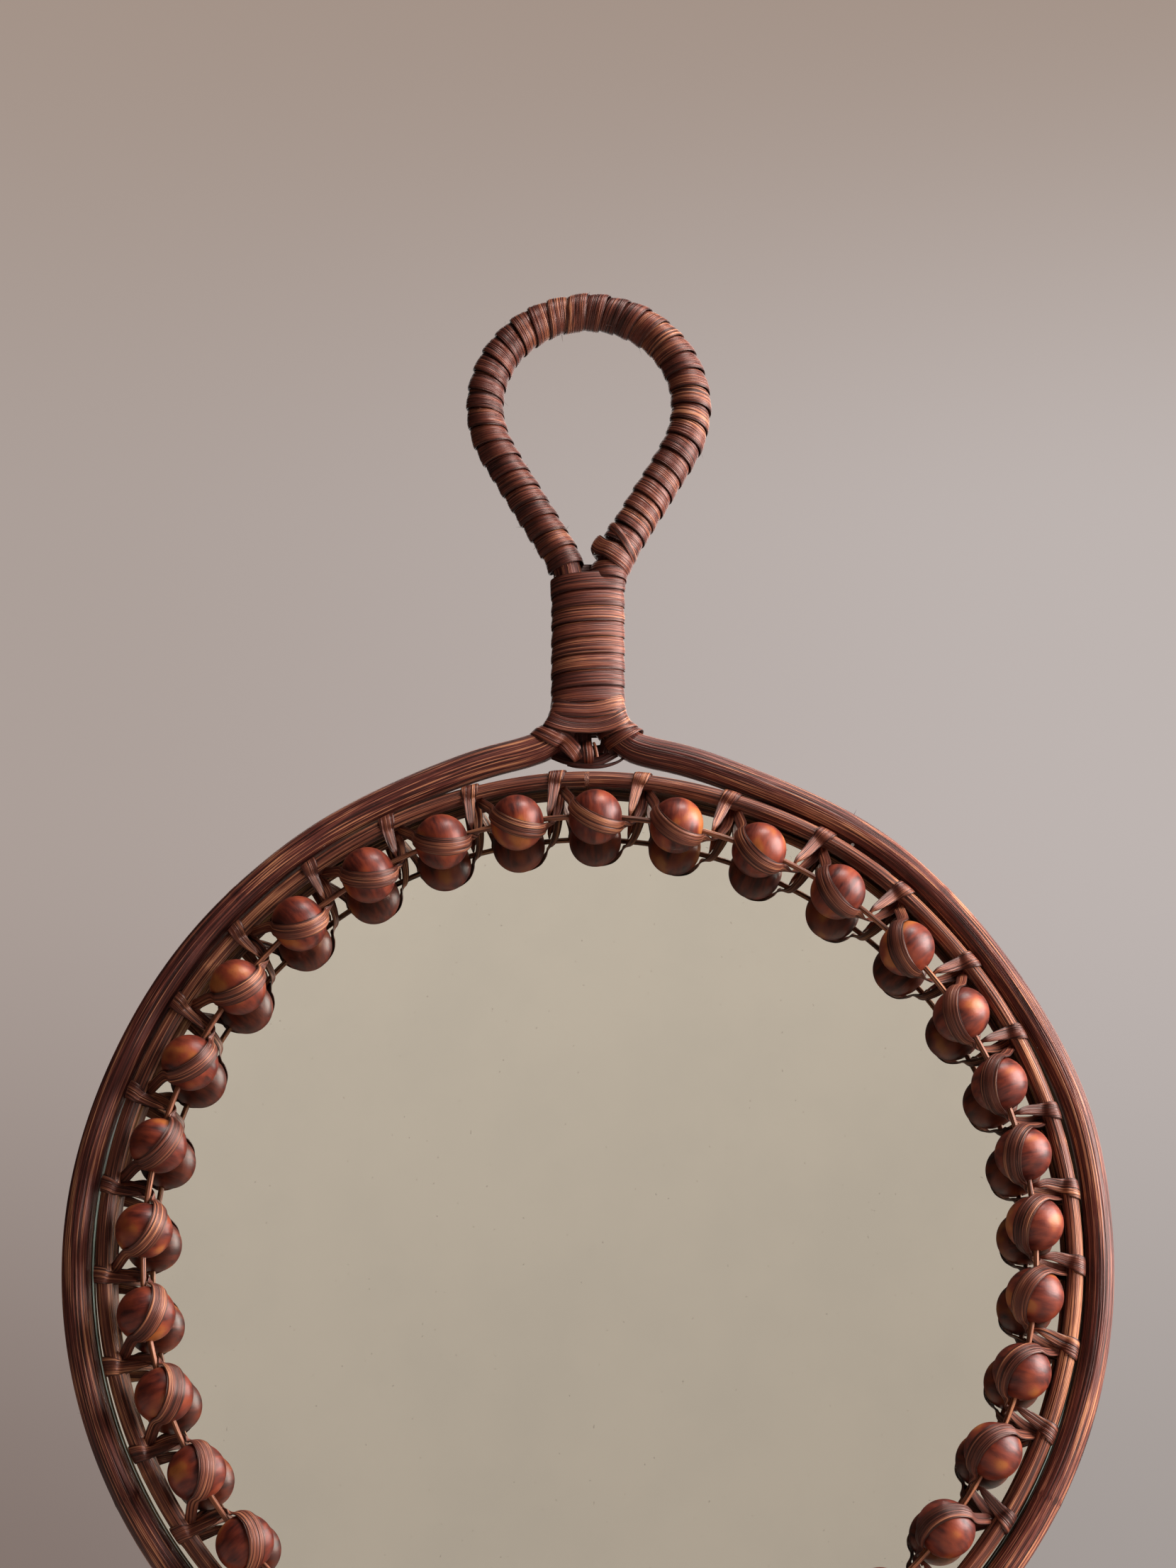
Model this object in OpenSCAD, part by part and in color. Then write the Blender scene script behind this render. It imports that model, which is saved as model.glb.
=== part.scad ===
// Round mirror in a frame of bent cane, trimmed with a ring of lacquered wooden
// beads. One cane pole makes the hanging loop, the two legs of the neck and the
// outer hoop. The mirror faces -Y and hangs in the XZ plane. The origin is the
// centre of the backing board's back face, so nothing lies behind y = 0.

/* [Hoops] */
// Outside diameter of the outer hoop
hoop_d = 280; // [260:1:300]
// Diameter of the cane pole that makes the loop and the outer hoop
pole_d = 7.8; // [7:0.1:8.2]
// Diameter of the thinner cane that makes the inner hoop
inner_cane_d = 4.6; // [4:0.1:5]
// Gap between the two hoops, where the lashing passes
hoop_gap = 1.1; // [1.1:0.1:2]

/* [Beads] */
// Number of beads on the threading cane
bead_count = 33; // [24:1:36]
// Diameter of a bead across its middle
bead_d = 15.6; // [14:0.1:16]
// Length of a bead along its hole
bead_len = 14.8; // [13:0.1:15]
// Diameter of the round cane that the beads are threaded on
thread_d = 1.6; // [1:0.1:2.4]
// Radial play of a bead on its cane, which is bent a little inside it
bead_play = 0.35; // [0.3:0.01:0.4]
// Unevenness of the hand spacing, 0 for an even ring
spacing_drift = 1; // [0:0.1:1]

/* [Neck and loop] */
// Distance between the two legs of the neck, centre to centre
leg_pitch = 10.4; // [9.4:0.1:12]
// Slope of the outer hoop where it turns up into the neck, in degrees
shoulder_slope = 18; // [14:1:20]
// Angle of each leg of the loop from the upright, in degrees
leg_angle = 30.3; // [28:0.1:32]
// Radius of the loop's round head, to the centre of the cane
loop_r = 29.7; // [27:0.1:32]
// Height of the loop's centre above the mirror's centre
loop_y = 244; // [242:1:250]
// Height of the top of the neck binding above the mirror's centre
neck_top_y = 192; // [191:0.2:198]
// Height of the bottom of the neck binding above the mirror's centre
neck_base_y = 146; // [145:0.5:149]

/* [Binding strip] */
// Thickness of the flat cane strip in the lashing
strip_t = 0.4; // [0.3:0.05:0.5]
// Width of the flat cane strip
strip_w = 4.6; // [4:0.1:5.2]
// Thickness of the binding round the loop
loop_bind_t = 1.4; // [1:0.1:1.6]

/* [Mirror] */
// Thickness of the glass
glass_t = 3; // [2:0.5:4]
// Thickness of the backing board
board_t = 3; // [2:0.5:5]
// Number of brads round the board's edge
brad_count = 10; // [6:1:16]

/* [Hidden] */
$fn = 48;
fine = 180;
slack = 0.05; // clearance between pieces that are bound together
coat_t = 0.1;
glass_top = board_t + coat_t + glass_t;

hoop_r = (hoop_d - pole_d) / 2;
glass_r = hoop_r - pole_d / 2 - 0.3; // the glass lies inside the outer hoop
board_r = hoop_r - 1.4; // and the hoop rests on the board's edge
hoop_z = board_t + sqrt(pow(pole_d / 2, 2) - pow(hoop_r - board_r, 2)) + slack;

// The trim is the inner hoop with its beads, lashed up a little off centre
trim_shift = [0.4, 0.7, 0];
inner_r = hoop_r - pole_d / 2 - hoop_gap - inner_cane_d / 2;
inner_z = glass_top + strip_t + 0.2 + inner_cane_d / 2;
bead_r = inner_r - 10.9;
bead_z = glass_top + bead_d / 2 + 0.2;

// The pole's outline, drawn flat: the hoop, a flatter shoulder each side, a bend
// up into the neck, the upright legs, a bend outwards, and the loop.
shoulder_from = 30; // where the shoulder leaves the hoop, in degrees from the top
shoulder_r = 281;
shoulder_c = (hoop_r - shoulder_r) * [sin(shoulder_from), cos(shoulder_from)];
shoulder_end = shoulder_c + shoulder_r * [sin(shoulder_slope), cos(shoulder_slope)];
base_r = (shoulder_end[0] - leg_pitch / 2) / (1 - sin(shoulder_slope));
base_c = shoulder_end + base_r * [sin(shoulder_slope), cos(shoulder_slope)];
spread_r = 20;
leg_len = (loop_r * cos(leg_angle) - leg_pitch / 2 - spread_r * (1 - cos(leg_angle))) / sin(leg_angle);
spread_c = [
  leg_pitch / 2 + spread_r,
  loop_y - (loop_r + spread_r) * sin(leg_angle) - leg_len * cos(leg_angle)
];
leg_start = spread_c + spread_r * [-cos(leg_angle), sin(leg_angle)];
leg_end = [0, loop_y] + loop_r * [cos(leg_angle), -sin(leg_angle)];
leg_tilt = 90 - leg_angle;
upright_from = [leg_pitch / 2, base_c[1]];
upright_to = [leg_pitch / 2, spread_c[1]];

// The stretches of the pole meet at nodes, the faint rings that cane grows with
node_rise = 0.03; // how far a node stands out of the pole
node_w = 0.6;
node_core = 0.1; // how far each stretch stops short of its node's middle
hoop_stretches = 5;
hoop_stretch_a = (360 - 2 * shoulder_from) / hoop_stretches;

bind_d = pole_d + 2 * loop_bind_t;
loop_wrap_from = neck_top_y + 0.1;
bare_d = pole_d + 2 * slack;
neck_bind_d = pole_d + 3.3;
base_bind_d = leg_pitch - 0.2;
base_bind_a = asin((base_c[1] - neck_base_y) / base_r);
tie_from = base_bind_a + 5;
tie_a = 24;

// Where a strip crosses a bead: a slice of a ball, tilted out of the hoop's plane
strap_in_r = bead_d / 2 + 0.15;
strap_normal = [0.387, 0.698, 0.603];
strap_offset = 1.43;
strap_floor = thread_d / 2 + 0.1; // the strap stops short of the threading cane

brad_d = 1;
brad_hole_d = 1.04;
brad_len = 9;
brad_head_d = 1.8;
brad_head_t = 0.5;
brad_ring_r = hoop_r - 2.4;
brad_first_a = 33; // clear of the neck, where the hoop leaves the board's edge
brad_step_a = (360 - 2 * brad_first_a) / (brad_count - 1);
scarf_angle = 13.5;
scarf_gap = 0.2;
scarf_pin_x = 4;
scarf_pin_len = 6.6;

// [waves round the ring, size in degrees, phase]: how the spacing drifts
drift_waves = [[1, 1.4, 80], [2, 1, 34], [3, 1.05, -97], [4, 0.84, -151]];
function drift(a) = sum([for (w = drift_waves) w[1] * sin(w[0] * a + w[2])]);
function sum(v, i = 0) = i < len(v) ? v[i] + sum(v, i + 1) : 0;
function even_a(i) = i * 360 / bead_count;
function bead_a(i) = even_a(i) + 0.3 + spacing_drift * drift(even_a(i));
function gap_a(i) = (bead_a(i) + bead_a(i + 1)) / 2; // between beads i and i + 1

function bead_name(i) = str("bead_", i < 9 ? "0" : "", i + 1);

// Everything is drawn flat, with x to the right, y up and z towards the viewer,
// and then stood upright.
module upright() rotate([90, 0, 0]) children();

module trim() upright() translate(trim_shift) children();

// Clockwise from the top, seen from the front
module round_ring(a, r, z) rotate(-a) translate([0, r, z]) children();

module both_sides() {
  children();
  mirror([1, 0, 0]) children();
}

// Sweeps a flat outline round an arc
module bend(centre, r, from, sweep)
  translate([centre[0], centre[1], hoop_z])
    rotate_extrude(angle = sweep, start = from, $fn = fine)
      translate([r, 0])
        children();

// Sweeps a flat outline along a straight
module run(from, tilt, length)
  translate([from[0], from[1], hoop_z])
    rotate([0, 90, tilt])
      linear_extrude(height = length)
        children();

module tube(inside, outside) difference() {
  circle(d = outside);
  circle(d = inside);
}

module base_bend(from, sweep) bend(base_c, base_r, 180 + from, sweep) children();

// A bent stretch of pole from node to node
module bent_stretch(d, centre, r, from, sweep)
  let (stop = node_core / r * 180 / PI)
    bend(centre, r, from + stop, sweep - 2 * stop)
      circle(d = d);

// A straight stretch of pole from node to node
module straight_stretch(d, from, to)
  let (along = to - from, stop = node_core * along / norm(along))
    run(from + stop, atan2(along[1], along[0]), norm(along) - 2 * node_core)
      circle(d = d);

module pole_node(d, place, tilt)
  translate([place[0], place[1], hoop_z])
    rotate([0, 90, tilt])
      cylinder(d = d + 2 * node_rise, h = node_w, center = true);

// The pole above the neck binding: the loop and its two legs
module loop_pole(d) {
  both_sides() {
    bent_stretch(d, spread_c, spread_r, 180 - leg_angle, leg_angle);
    pole_node(d, leg_start, leg_tilt);
    straight_stretch(d, leg_start, leg_end);
    pole_node(d, leg_end, leg_tilt);
  }
  bent_stretch(d, [0, loop_y], loop_r, -leg_angle, 180 + 2 * leg_angle);
}

module pole() {
  for (i = [0 : hoop_stretches - 1])
    bent_stretch(pole_d, [0, 0], hoop_r, 90 + shoulder_from + i * hoop_stretch_a, hoop_stretch_a);
  for (i = [0 : hoop_stretches])
    let (a = shoulder_from + i * hoop_stretch_a)
      pole_node(pole_d, hoop_r * [-sin(a), cos(a)], a);
  both_sides() {
    bent_stretch(pole_d, shoulder_c, shoulder_r, 90 - shoulder_from, shoulder_from - shoulder_slope);
    pole_node(pole_d, shoulder_end, -shoulder_slope);
    bent_stretch(pole_d, base_c, base_r, 180, 90 - shoulder_slope);
    pole_node(pole_d, upright_from, 90);
    straight_stretch(pole_d, upright_from, upright_to);
    pole_node(pole_d, upright_to, 90);
  }
  loop_pole(pole_d);
}

module brad_places()
  for (i = [0 : brad_count - 1])
    round_ring(brad_first_a + i * brad_step_a, brad_ring_r, 0)
      children();

module scarf_pin_places()
  for (side = [-1, 1])
    translate([side * scarf_pin_x, -hoop_r - pole_d / 2 + 0.4, hoop_z])
      rotate([-90, 0, 0])
        children();

module frame_cane() color("saddlebrown") upright() difference() {
  pole();
  translate([0, -hoop_r, hoop_z])
    rotate(scarf_angle)
      cube([60, scarf_gap, 2 * pole_d], center = true);
  brad_places() cylinder(d = brad_hole_d, h = brad_len + 0.2);
  scarf_pin_places() translate([0, 0, -1]) cylinder(d = brad_hole_d, h = scarf_pin_len + 1.1);
}

module scarf_pins() color("dimgray") upright()
  scarf_pin_places()
    cylinder(d = brad_d, h = scarf_pin_len);

// The binding starts above the neck's, where the two legs leave room for it
module loop_wrap() color("sienna") upright() difference() {
  loop_pole(bind_d);
  loop_pole(bare_d);
  translate([-loop_r, 0, 0])
    cube([2 * loop_r, loop_wrap_from, 2 * hoop_z]);
}

module neck_section(d) {
  square([leg_pitch, d], center = true);
  for (side = [-1, 1])
    translate([side * leg_pitch / 2, 0])
      circle(d = d);
}

module neck_wrap() color("brown") upright() {
  translate([0, base_c[1], hoop_z])
    rotate([-90, 0, 0])
      linear_extrude(height = neck_top_y - base_c[1])
        difference() {
          neck_section(neck_bind_d);
          neck_section(pole_d + 0.7);
        }
  both_sides()
    base_bend(0, base_bind_a)
      tube(bare_d, base_bind_d);
}

module neck_tie() upright()
  base_bend(tie_from, tie_a)
    tube(bare_d, pole_d + 2.2);

module neck_tie_right() color("sienna") neck_tie();

module neck_tie_left() color("sienna") mirror([1, 0, 0]) neck_tie();

// The ends of the ties, twisted together between the legs
module neck_knot() color("maroon") upright()
  translate([0, neck_base_y - 10, hoop_z])
    rotate([-90, 0, 0])
      rotate_extrude()
        polygon([[0, 0], [1.1, 0], [1.8, 1.2], [1.3, 3], [1.9, 5], [1.4, 7], [1.7, 8.4], [0, 9]]);

module inner_hoop() color("peru") trim()
  translate([0, 0, inner_z])
    rotate_extrude($fn = fine)
      translate([inner_r, 0])
        circle(d = inner_cane_d);

module bead_cane() color("peru") trim()
  translate([0, 0, bead_z])
    rotate_extrude($fn = fine)
      translate([bead_r, 0])
        circle(d = thread_d);

// A turned bead, a little shorter along its hole than it is wide
module bead(i) color("firebrick") trim()
  round_ring(bead_a(i), bead_r, bead_z)
    rotate([0, 90, 0])
      rotate_extrude($fn = fine)
        intersection() {
          translate([(bead_d - bead_len) / 2, 0])
            circle(d = bead_len);
          translate([thread_d / 2 + bead_play, -bead_len / 2])
            square([bead_d, bead_len]);
        }

module bead_strap(i) round_ring(bead_a(i), bead_r, bead_z)
  intersection() {
    difference() {
      sphere(r = strap_in_r + strip_t);
      sphere(r = strap_in_r);
    }
    rotate([0, acos(strap_normal[2]), atan2(strap_normal[1], strap_normal[0])])
      translate([0, 0, strap_offset])
        cube([3 * bead_d, 3 * bead_d, strip_w], center = true);
    translate([-bead_d, -bead_d, strap_floor])
      cube(2 * bead_d);
  }

module hoop_band(i)
  let (sweep = strip_w / inner_r * 180 / PI, bore = inner_cane_d + 4 * slack)
    translate([0, 0, inner_z])
      rotate_extrude(angle = sweep, start = 90 - gap_a(i) - sweep / 2, $fn = fine)
        translate([inner_r, 0])
          tube(bore, bore + 2 * strip_t);

module bead_lashing() color("chocolate") trim()
  for (i = [0 : bead_count - 1]) {
    bead_strap(i);
    hoop_band(i);
  }

module mirror_glass() color("lightsteelblue", 0.5) upright()
  translate([0, 0, board_t + coat_t])
    cylinder(r = glass_r, h = glass_t, $fn = fine);

module silver_coat() color("silver") upright()
  translate([0, 0, board_t])
    cylinder(r = glass_r - 0.5, h = coat_t, $fn = fine);

module backing_board() color("tan") upright()
  difference() {
    cylinder(r = board_r, h = board_t, $fn = fine);
    brad_places() {
      translate([0, 0, -1]) cylinder(d = brad_hole_d, h = board_t + 2);
      translate([0, 0, -1]) cylinder(d = brad_head_d + 0.04, h = brad_head_t + 1.04);
    }
  }

module backing_brads() color("gray") upright()
  brad_places() {
    cylinder(d = brad_head_d, h = brad_head_t);
    cylinder(d = brad_d, h = brad_len);
  }

frame_cane();
scarf_pins();
loop_wrap();
neck_wrap();
neck_tie_left();
neck_tie_right();
neck_knot();
inner_hoop();
bead_cane();
bead_lashing();
mirror_glass();
silver_coat();
backing_board();
backing_brads();
for (i = [0 : bead_count - 1])
  bead(i);
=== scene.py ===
"""Looks for the round cane mirror: the bent pole, its bindings, the beads and their lashing.

Shapes are drawn flat, in millimetres, with x to the right, y up and z towards the viewer, and then
stood upright. "Clockwise" is as seen from the front.
"""

import math

import bmesh
import bpy
import numpy as np
from mathutils import Matrix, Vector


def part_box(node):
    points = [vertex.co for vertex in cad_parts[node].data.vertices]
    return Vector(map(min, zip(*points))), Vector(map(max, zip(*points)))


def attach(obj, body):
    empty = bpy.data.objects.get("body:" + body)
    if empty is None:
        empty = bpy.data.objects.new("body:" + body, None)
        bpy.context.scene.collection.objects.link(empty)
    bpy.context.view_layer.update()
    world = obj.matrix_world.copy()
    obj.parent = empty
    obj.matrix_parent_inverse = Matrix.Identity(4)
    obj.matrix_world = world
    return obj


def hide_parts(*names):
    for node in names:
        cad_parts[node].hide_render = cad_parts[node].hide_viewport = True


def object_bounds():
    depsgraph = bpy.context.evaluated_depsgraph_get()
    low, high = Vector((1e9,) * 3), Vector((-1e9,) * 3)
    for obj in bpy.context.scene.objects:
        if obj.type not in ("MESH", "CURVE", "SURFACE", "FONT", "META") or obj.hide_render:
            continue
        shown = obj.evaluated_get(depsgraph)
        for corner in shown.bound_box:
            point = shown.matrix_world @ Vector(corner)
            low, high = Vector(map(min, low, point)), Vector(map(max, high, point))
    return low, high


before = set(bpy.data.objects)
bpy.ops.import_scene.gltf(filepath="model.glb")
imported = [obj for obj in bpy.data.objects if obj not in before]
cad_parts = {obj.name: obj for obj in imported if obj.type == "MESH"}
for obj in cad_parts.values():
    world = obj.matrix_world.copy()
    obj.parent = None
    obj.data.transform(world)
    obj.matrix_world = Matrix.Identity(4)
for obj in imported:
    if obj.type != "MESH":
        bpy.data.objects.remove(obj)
cad_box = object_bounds()

MM = 0.001
BEAD_COUNT = sum(name.startswith("bead_") and name[5:].isdigit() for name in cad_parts)


# ---------------------------------------------------------------- sizes from the frame

def flat_box(node):
    """A node's box as (lowest x, y, z) and (highest x, y, z) in flat millimetres."""
    lo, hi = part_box(node)
    return np.array([lo.x, lo.z, -hi.y]) / MM, np.array([hi.x, hi.z, -lo.y]) / MM


pole_lo, pole_hi = flat_box("frame_cane")
POLE_D = pole_hi[2] - pole_lo[2]
HOOP_R = (pole_hi[0] - pole_lo[0] - POLE_D) / 2
HOOP_Z = (pole_lo[2] + pole_hi[2]) / 2

loop_lo, loop_hi = flat_box("loop_wrap")
LOOP_BIND_D = loop_hi[2] - loop_lo[2]
LOOP_R = (loop_hi[0] - loop_lo[0] - LOOP_BIND_D) / 2
LOOP_Y = loop_hi[1] - LOOP_BIND_D / 2 - LOOP_R
LOOP_WRAP_FROM = loop_lo[1]

NECK_TOP = flat_box("neck_wrap")[1][1]

ring_lo, ring_hi = flat_box("inner_hoop")
INNER_CANE_D = ring_hi[2] - ring_lo[2]
INNER_R = (ring_hi[0] - ring_lo[0] - INNER_CANE_D) / 2
INNER_Z = (ring_lo[2] + ring_hi[2]) / 2
TRIM = np.array([(ring_lo[0] + ring_hi[0]) / 2, (ring_lo[1] + ring_hi[1]) / 2])

thread_lo, thread_hi = flat_box("bead_cane")
THREAD_D = thread_hi[2] - thread_lo[2]
BEAD_RING_R = (thread_hi[0] - thread_lo[0] - THREAD_D) / 2
BEAD_Z = (thread_lo[2] + thread_hi[2]) / 2

# The pole's outline, which boxes don't give, in millimetres and degrees
LEG_PITCH = 10.4
SHOULDER_FROM = 30
SHOULDER_R = 281
SHOULDER_SLOPE = 18
LEG_ANGLE = 30.3
SPREAD_R = 20
NECK_BASE_Y = 143.4
SHOULDER_SWELL = 0.5
SCARF_SPARE = 12
SCARF_ANGLE = 13.5
SCARF_GAP = 0.2

# The beads and the flat strips, in millimetres
BEAD_D = 15.6
BEAD_LEN = 14.8
BORE_R = 1.15
STRIP_T = 0.4
BINDING_T = 0.5
LOOP_STRIP_T = 0.66
LOOP_TURNS = 39
NECK_PITCH = 4.75
FINEST_RIB = 0.07


# ---------------------------------------------------------------- drawing tools

def cos_d(a):
    return np.cos(np.radians(a))


def sin_d(a):
    return np.sin(np.radians(a))


def unit(v):
    return v / np.maximum(np.linalg.norm(v, axis=-1, keepdims=True), 1e-12)


def wander(x, seed, step):
    """Smooth random values between -1 and 1 along x, with about one turn every step."""
    values = np.random.default_rng(seed).uniform(-1, 1, 4096)
    at = np.asarray(x, float) / step + 2000
    i = np.floor(at).astype(int)
    f = at - i
    f = f * f * (3 - 2 * f)
    return values[i % 4096] * (1 - f) + values[(i + 1) % 4096] * f


def arc(centre, r, start, sweep, step=0.4):
    """Points along an arc, anticlockwise from the right in degrees."""
    count = max(2, int(abs(np.radians(sweep)) * r / step) + 1)
    a = np.radians(np.linspace(start, start + sweep, count))
    return np.stack([centre[0] + r * np.cos(a), centre[1] + r * np.sin(a)], 1)


class Path:
    """A flat line that can be asked for places and outward directions at a distance along it."""

    def __init__(self, points, z):
        keep = np.r_[True, np.linalg.norm(np.diff(points, axis=0), axis=1) > 1e-6]
        self.points = points[keep]
        self.z = z
        steps = np.linalg.norm(np.diff(self.points, axis=0), axis=1)
        self.s = np.r_[0, np.cumsum(steps)]
        self.length = self.s[-1]
        self.tangents = unit(np.gradient(self.points, self.s, axis=0))

    def at(self, s):
        """Place, tangent and left-hand normal at s, as arrays that end in x, y, z."""
        s = np.asarray(s, float)
        place = [np.interp(s, self.s, self.points[:, k]) for k in (0, 1)]
        tangent = unit(np.stack([np.interp(s, self.s, self.tangents[:, k]) for k in (0, 1)], -1))
        zero = np.zeros_like(s)
        return (
            np.stack([*place, zero + self.z], -1),
            np.stack([tangent[..., 0], tangent[..., 1], zero], -1),
            np.stack([-tangent[..., 1], tangent[..., 0], zero], -1),
        )

    def bend(self, s):
        """How sharply the line turns to the right at s, per millimetre."""
        a = np.unwrap(np.arctan2(self.tangents[:, 1], self.tangents[:, 0]))
        return -np.interp(s, self.s, np.gradient(a, self.s))


FRONT = np.array([0, 0, 1.0])


def grid_faces(rows, columns, closed_rows=False):
    """Quads over rows of points that each close on themselves."""
    i = np.arange(rows if closed_rows else rows - 1)[:, None]
    j = np.arange(columns)[None, :]
    i2, j2 = (i + 1) % rows, (j + 1) % columns
    corners = [i * columns + j, i * columns + j2, i2 * columns + j2, i2 * columns + j]
    return np.stack(np.broadcast_arrays(*corners), -1).reshape(-1, 4)


def cap_faces(first, columns):
    """Quads across one row of points."""
    j = np.arange(columns // 2 - 1)
    return first + np.stack([j, j + 1, columns - 2 - j, columns - 1 - j], 1)


def add_object(name, data):
    obj = bpy.data.objects.new(name, data)
    bpy.context.scene.collection.objects.link(obj)
    return obj


class Shape:
    """Collects swept parts that become one object."""

    def __init__(self):
        self.points, self.faces, self.count = [], [], 0
        self.straight, self.tone, self.edge = [], [], []

    def sweep(self, points, straight, tone, edge=0.0, closed=False):
        """points and straight are rows x columns x 3, tone and edge are rows x columns."""
        rows, columns = points.shape[:2]
        faces = grid_faces(rows, columns, closed)
        if not closed:
            end = (rows - 1) * columns
            faces = np.vstack([faces, cap_faces(0, columns), cap_faces(end, columns)[:, ::-1]])
        flat = points.reshape(-1, 3)
        a, b, c, d = (flat[faces[:, k]] for k in range(4))
        volume = (np.cross(a, b) * c).sum() + (np.cross(a, c) * d).sum()
        if volume < 0:
            faces = faces[:, ::-1]
        self.faces.append(faces + self.count)
        self.points.append(flat)
        self.straight.append(straight.reshape(-1, 3))
        self.tone.append(np.broadcast_to(tone, (rows, columns)).reshape(-1))
        self.edge.append(np.broadcast_to(edge, (rows, columns)).reshape(-1))
        self.count += len(flat)

    def make(self, name, material, sharp=40):
        """The object, stood upright. Edges that turn more than sharp degrees are shaded as edges."""
        flat, faces = np.vstack(self.points), np.vstack(self.faces)
        upright = np.stack([flat[:, 0], -flat[:, 2], flat[:, 1]], 1) * MM
        mesh = bpy.data.meshes.new(name)
        mesh.vertices.add(len(upright))
        mesh.vertices.foreach_set("co", upright.astype(np.float32).ravel())
        mesh.loops.add(faces.size)
        mesh.loops.foreach_set("vertex_index", faces.astype(np.int32).ravel())
        mesh.polygons.add(len(faces))
        mesh.polygons.foreach_set("loop_start", np.arange(0, faces.size, 4, dtype=np.int32))
        mesh.update(calc_edges=True)
        mesh.polygons.foreach_set("use_smooth", np.ones(len(faces), bool))
        if sharp:
            mesh.set_sharp_from_angle(angle=math.radians(sharp))
        for key, kind, values in (
            ("straight", "FLOAT_VECTOR", np.vstack(self.straight)),
            ("tone", "FLOAT", np.concatenate(self.tone)),
            ("edge", "FLOAT", np.concatenate(self.edge)),
        ):
            field = "vector" if kind == "FLOAT_VECTOR" else "value"
            layer = mesh.attributes.new(key, kind, "POINT")
            layer.data.foreach_set(field, values.astype(np.float32).ravel())
        mesh.materials.append(material)
        return add_object(name, mesh)


def hang(piece, body, node):
    """Puts a piece on its body, in place of the node it shows."""
    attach(piece, body)
    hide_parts(node)


def strip_section(count):
    """A flat strip's outline: across from -0.5 to 0.5, and height from -0.5 to 0.5."""
    across = np.sin(np.linspace(-90, 90, count) * math.pi / 180) * 0.5
    height = 0.5 * np.sqrt(np.maximum(1 - np.abs(2 * across) ** 7, 0.0))
    height[[0, -1]] = 0.18
    across, height = np.r_[across, across[::-1]], np.r_[height, -height[::-1]]
    return across, height


def rib(across, count, seed):
    """Fine ribs along a strip, as a height between -0.5 and 0.5."""
    shift = np.random.default_rng(seed).uniform(0, 6)
    return 0.5 * np.cos(2 * math.pi * across * count + shift)


def smooth_line(controls, step):
    """A Catmull-Rom line through rows of numbers, at about the given step in its first three."""
    c = np.vstack([2 * controls[0] - controls[1], controls, 2 * controls[-1] - controls[-2]])
    rows = []
    for i in range(1, len(c) - 2):
        count = max(2, int(np.linalg.norm(c[i + 1, :3] - c[i, :3]) / step))
        t = (np.arange(count) / count)[:, None]
        a, b, d, e = c[i - 1], c[i], c[i + 1], c[i + 2]
        square, cube = 2 * a - 5 * b + 4 * d - e, 3 * b - a - 3 * d + e
        rows.append(0.5 * (2 * b + (d - a) * t + square * t ** 2 + cube * t ** 3))
    return np.vstack(rows + [c[-2:-1]])


def lay_strip(shape, controls, thick=STRIP_T, crown=0.1, step=0.7, seed=0, tone=0.0):
    """A strip laid through controls of (place, outward direction, width, cross-curvature)."""
    line = smooth_line(np.asarray(controls, float), step)
    place, out, width, cup = line[:, :3], line[:, 3:6], line[:, 6], line[:, 7]
    s = np.r_[0, np.cumsum(np.linalg.norm(np.diff(place, axis=0), axis=1))]
    tangent = unit(np.gradient(place, s, axis=0))
    side = unit(np.cross(tangent, out))
    out = np.cross(side, tangent)
    across, height = strip_section(17)
    w = across[None] * width[:, None]
    ribs = (rib(across, 5, seed) * 0.7 + rib(across, 9, seed + 1) * 0.3) * FINEST_RIB
    ribs = ribs * (1 - np.abs(2 * across) ** 4)
    h = thick * height[None] + crown * (1 - (2 * across[None]) ** 2) + ribs[None] - cup[:, None] * w ** 2 / 2
    points = place[:, None] + w[..., None] * side[:, None] + h[..., None] * out[:, None]
    straight = np.stack(np.broadcast_arrays(s[:, None] + 37 * seed, w, h), -1)
    shape.sweep(points, straight, tone, np.abs(2 * across[None]))


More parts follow.
